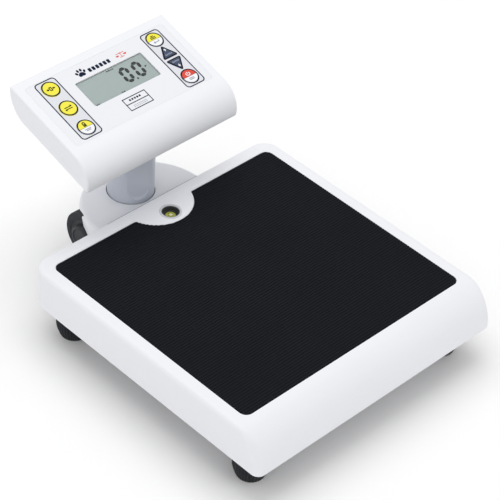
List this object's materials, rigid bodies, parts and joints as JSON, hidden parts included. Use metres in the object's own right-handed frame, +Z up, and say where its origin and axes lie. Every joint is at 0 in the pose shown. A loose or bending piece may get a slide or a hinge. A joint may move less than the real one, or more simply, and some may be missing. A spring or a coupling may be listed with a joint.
{
  "type": "animal weighing scale",
  "caption": "Low square floor scale with ribbed rubber deck, levelling feet, rear transport wheels and a short column carrying a tilting, swivelling display head with keys.",
  "frame": {"origin": "on the floor under the four feet, below the middle of the bounding box", "axes": "+Z up; +Y from the front roll of the platform to the display column; +X to the right of a user facing the display"},
  "size_m": [0.305, 0.405, 0.1999],
  "materials": {
    "white_shell": "satin white moulded plastic",
    "rubber_mat": "fine ribbed matte",
    "steel": "satin",
    "aluminium": "machined",
    "dark_plastic": "fine grained",
    "tyre_rubber": "matte",
    "grey_plastic": "satin",
    "level_fluid": "clear fluid behind a lens",
    "overlay": "satin printed film",
    "key_yellow": "satin film",
    "key_navy": "satin film",
    "key_red": "satin film",
    "clear_window": "clear",
    "lcd_glass": "reflective liquid crystal",
    "circuit_board": "solder mask",
    "cell_wrap": "printed wrap"
  },
  "bodies": {
    "platform": {"platform_cover": "white_shell", "neck_housing": "white_shell", "deck_mat": "rubber_mat", "deck_frame": "steel", "rear_bracket": "steel", "wheel_axle": "steel", "tray_screw_left_front": "steel", "tray_screw_left_rear": "steel", "tray_screw_right_front": "steel", "tray_screw_right_rear": "steel", "foot_socket_front_left": "steel", "foot_socket_front_right": "steel", "foot_socket_rear_left": "steel", "foot_socket_rear_right": "steel", "load_cell_front_left": "aluminium", "load_cell_front_right": "aluminium", "load_cell_rear_left": "aluminium", "load_cell_rear_right": "aluminium", "level_cup": "dark_plastic", "base_tray": "grey_plastic", "neck_floor": "grey_plastic", "column_bush": "grey_plastic", "level_vial": "level_fluid", "junction_board": "circuit_board"},
    "foot_stud_front_left": {"foot_stud_front_left": "steel"},
    "foot_pad_front_left": {"foot_pad_front_left": "dark_plastic"},
    "foot_stud_front_right": {"foot_stud_front_right": "steel"},
    "foot_pad_front_right": {"foot_pad_front_right": "dark_plastic"},
    "foot_stud_rear_left": {"foot_stud_rear_left": "steel"},
    "foot_pad_rear_left": {"foot_pad_rear_left": "dark_plastic"},
    "foot_stud_rear_right": {"foot_stud_rear_right": "steel"},
    "foot_pad_rear_right": {"foot_pad_rear_right": "dark_plastic"},
    "wheel_left": {"wheel_tyre_left": "tyre_rubber", "wheel_hub_left": "dark_plastic"},
    "wheel_right": {"wheel_tyre_right": "tyre_rubber", "wheel_hub_right": "dark_plastic"},
    "column": {"column_tube": "grey_plastic", "column_nut": "steel", "column_cap": "grey_plastic", "tilt_pin": "steel"},
    "head": {"head_shell": "white_shell", "head_rear_cover": "white_shell", "face_overlay": "overlay", "lcd_window": "clear_window", "lcd_panel": "lcd_glass", "main_board": "circuit_board", "battery_box": "dark_plastic", "tilt_bracket": "steel", "battery_cell_1": "cell_wrap", "battery_cell_2": "cell_wrap", "battery_cell_3": "cell_wrap", "battery_cell_4": "cell_wrap"},
    "battery_door": {"battery_door": "white_shell"},
    "key_left_upper": {"key_left_upper": "key_yellow"},
    "key_left_middle": {"key_left_middle": "key_yellow"},
    "key_left_lower": {"key_left_lower": "key_yellow"},
    "key_right_upper": {"key_right_upper": "key_yellow"},
    "key_right_lower": {"key_right_lower": "key_red"},
    "key_up": {"key_up": "key_navy"},
    "key_down": {"key_down": "key_navy"}
  },
  "joints": [
    {"name": "foot_height_front_left", "type": "slide", "parent": "platform", "child": "foot_stud_front_left", "axis": [0, 0, -1], "range_m": [0, 0.006]},
    {"name": "foot_turn_front_left", "type": "hinge", "parent": "foot_stud_front_left", "child": "foot_pad_front_left", "pos_m": [-0.125, -0.1676, 0.014], "axis": [0, 0, -1], "range_deg": [0, 1728]},
    {"name": "foot_height_front_right", "type": "slide", "parent": "platform", "child": "foot_stud_front_right", "axis": [0, 0, -1], "range_m": [0, 0.006]},
    {"name": "foot_turn_front_right", "type": "hinge", "parent": "foot_stud_front_right", "child": "foot_pad_front_right", "pos_m": [0.125, -0.1676, 0.014], "axis": [0, 0, -1], "range_deg": [0, 1728]},
    {"name": "foot_height_rear_left", "type": "slide", "parent": "platform", "child": "foot_stud_rear_left", "axis": [0, 0, -1], "range_m": [0, 0.006]},
    {"name": "foot_turn_rear_left", "type": "hinge", "parent": "foot_stud_rear_left", "child": "foot_pad_rear_left", "pos_m": [-0.125, 0.0736, 0.014], "axis": [0, 0, -1], "range_deg": [0, 1728]},
    {"name": "foot_height_rear_right", "type": "slide", "parent": "platform", "child": "foot_stud_rear_right", "axis": [0, 0, -1], "range_m": [0, 0.006]},
    {"name": "foot_turn_rear_right", "type": "hinge", "parent": "foot_stud_rear_right", "child": "foot_pad_rear_right", "pos_m": [0.125, 0.0736, 0.014], "axis": [0, 0, -1], "range_deg": [0, 1728]},
    {"name": "wheel_spin_left", "type": "hinge", "parent": "platform", "child": "wheel_left", "pos_m": [-0.0517, 0.1374, 0.0415], "axis": [1, 0, 0], "continuous": true},
    {"name": "wheel_spin_right", "type": "hinge", "parent": "platform", "child": "wheel_right", "pos_m": [0.0517, 0.1374, 0.0415], "axis": [1, 0, 0], "continuous": true},
    {"name": "column_swivel", "type": "hinge", "parent": "platform", "child": "column", "pos_m": [0, 0.1371, 0.07], "axis": [0, 0, 1], "range_deg": [-90, 90]},
    {"name": "head_tilt", "type": "hinge", "parent": "column", "child": "head", "pos_m": [0, 0.1371, 0.14], "axis": [1, 0, 0], "range_deg": [-15, 25]},
    {"name": "battery_door_hinge", "type": "hinge", "parent": "head", "child": "battery_door", "pos_m": [0.057, 0.18217, 0.16628], "axis": [1, 0, 0], "range_deg": [0, 95]},
    {"name": "key_left_upper_press", "type": "slide", "parent": "head", "child": "key_left_upper", "axis": [0, 0.274, -0.9617], "range_m": [0, 0.0005], "stiffness_N_per_m": 1200, "springref_m": -0.0004},
    {"name": "key_left_middle_press", "type": "slide", "parent": "head", "child": "key_left_middle", "axis": [0, 0.274, -0.9617], "range_m": [0, 0.0005], "stiffness_N_per_m": 1200, "springref_m": -0.0004},
    {"name": "key_left_lower_press", "type": "slide", "parent": "head", "child": "key_left_lower", "axis": [0, 0.274, -0.9617], "range_m": [0, 0.0005], "stiffness_N_per_m": 1200, "springref_m": -0.0004},
    {"name": "key_right_upper_press", "type": "slide", "parent": "head", "child": "key_right_upper", "axis": [0, 0.274, -0.9617], "range_m": [0, 0.0005], "stiffness_N_per_m": 1200, "springref_m": -0.0004},
    {"name": "key_right_lower_press", "type": "slide", "parent": "head", "child": "key_right_lower", "axis": [0, 0.274, -0.9617], "range_m": [0, 0.0005], "stiffness_N_per_m": 1200, "springref_m": -0.0004},
    {"name": "key_up_press", "type": "slide", "parent": "head", "child": "key_up", "axis": [0, 0.274, -0.9617], "range_m": [0, 0.0005], "stiffness_N_per_m": 1200, "springref_m": -0.0004},
    {"name": "key_down_press", "type": "slide", "parent": "head", "child": "key_down", "axis": [0, 0.274, -0.9617], "range_m": [0, 0.0005], "stiffness_N_per_m": 1200, "springref_m": -0.0004}
  ],
  "couplings": [
    {"joint": "foot_height_front_left", "follows": "foot_turn_front_left", "m_per_rad": 0.00019894},
    {"joint": "foot_height_front_right", "follows": "foot_turn_front_right", "m_per_rad": 0.00019894},
    {"joint": "foot_height_rear_left", "follows": "foot_turn_rear_left", "m_per_rad": 0.00019894},
    {"joint": "foot_height_rear_right", "follows": "foot_turn_rear_right", "m_per_rad": 0.00019894}
  ]
}
